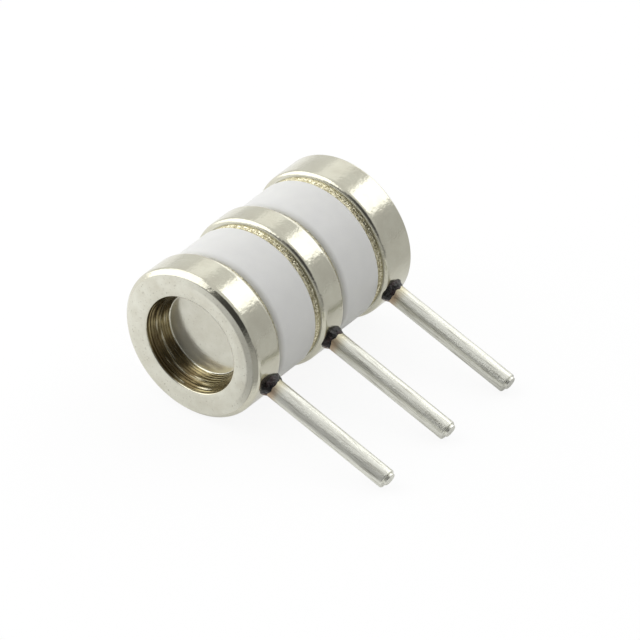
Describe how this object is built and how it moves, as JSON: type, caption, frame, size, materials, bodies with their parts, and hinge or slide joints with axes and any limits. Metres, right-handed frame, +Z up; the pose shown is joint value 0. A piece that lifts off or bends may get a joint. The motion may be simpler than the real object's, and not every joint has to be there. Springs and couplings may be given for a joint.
{
  "type": "gas discharge tube",
  "caption": "Cylindrical gas discharge tube of metal rims and white ceramic sleeves with radial wire leads, which shorts voltage surges to earth.",
  "frame": {"origin": "middle of the part's box, on the surface that it lies on", "axes": "+Z up, the tube's axis along Y, the leads towards +X and down to the surface"},
  "size_m": [0.0142, 0.0116, 0.0075],
  "materials": {
    "nickel_plate": "satin",
    "alumina": "satin",
    "silver_copper_braze": "satin",
    "emission_coating": "matte",
    "graphite": "matte",
    "tinned_wire": "satin",
    "weld_oxide": "matte"
  },
  "bodies": {
    "root": {"front_electrode": "nickel_plate", "centre_electrode": "nickel_plate", "rear_electrode": "nickel_plate", "front_ceramic": "alumina", "rear_ceramic": "alumina", "front_end_braze": "silver_copper_braze", "front_centre_braze": "silver_copper_braze", "rear_centre_braze": "silver_copper_braze", "rear_end_braze": "silver_copper_braze", "front_coating": "emission_coating", "rear_coating": "emission_coating", "front_ignition_strips": "graphite", "rear_ignition_strips": "graphite", "front_lead": "tinned_wire", "centre_lead": "tinned_wire", "rear_lead": "tinned_wire", "front_weld": "weld_oxide", "centre_weld": "weld_oxide", "rear_weld": "weld_oxide"}
  },
  "joints": []
}
